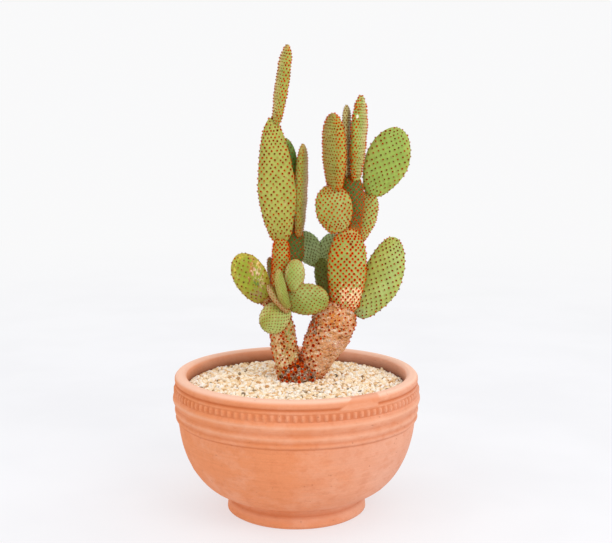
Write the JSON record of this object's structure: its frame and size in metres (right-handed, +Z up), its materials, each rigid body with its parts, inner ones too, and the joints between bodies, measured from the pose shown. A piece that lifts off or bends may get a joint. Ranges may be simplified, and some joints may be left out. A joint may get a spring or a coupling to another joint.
{
  "type": "potted paddle cactus",
  "caption": "A bunny-ears prickly pear with corky stems and flat green pads set with rust-red areoles, in a round beaded terracotta bowl topped with pale gravel",
  "frame": {"origin": "On the floor, on the bowl's axis, at the middle of the bowl's foot.", "axes": "+Z is up. -Y is the plant's best side, where its small front pads lean out over the gravel. +X is to the right of a viewer who looks along +Y at that side."},
  "size_m": [0.3, 0.3, 0.559],
  "materials": {
    "terracotta": "matte",
    "soil": "matte",
    "gravel": "matte",
    "cork": "matte",
    "old": "matte",
    "green": "satin",
    "young": "satin",
    "shaded": "satin",
    "dusty": "matte"
  },
  "bodies": {
    "root": {"bowl": "terracotta", "soil": "soil", "gravel": "gravel", "root_crown": "cork", "left_trunk": "cork", "right_trunk": "cork", "left_neck": "old", "left_tall_pad": "green", "left_club_pad": "young", "left_back_stem": "old", "left_back_pad": "shaded", "left_narrow_pad": "old", "side_knob": "cork", "side_pad": "young", "shaded_pad": "shaded", "front_oval_pad": "young", "front_ear_pad": "young", "front_round_pad": "young", "front_edge_pad": "old", "front_curved_pad": "young", "right_main_pad": "green", "right_round_pad": "green", "right_front_club": "young", "right_wedge_pad": "shaded", "right_slim_club": "young", "right_tall_club": "young", "right_back_oval": "green", "right_top_pad": "green", "right_long_pad": "green", "rear_stem": "shaded", "rear_left_ear": "dusty", "rear_right_ear": "dusty"}
  },
  "joints": []
}
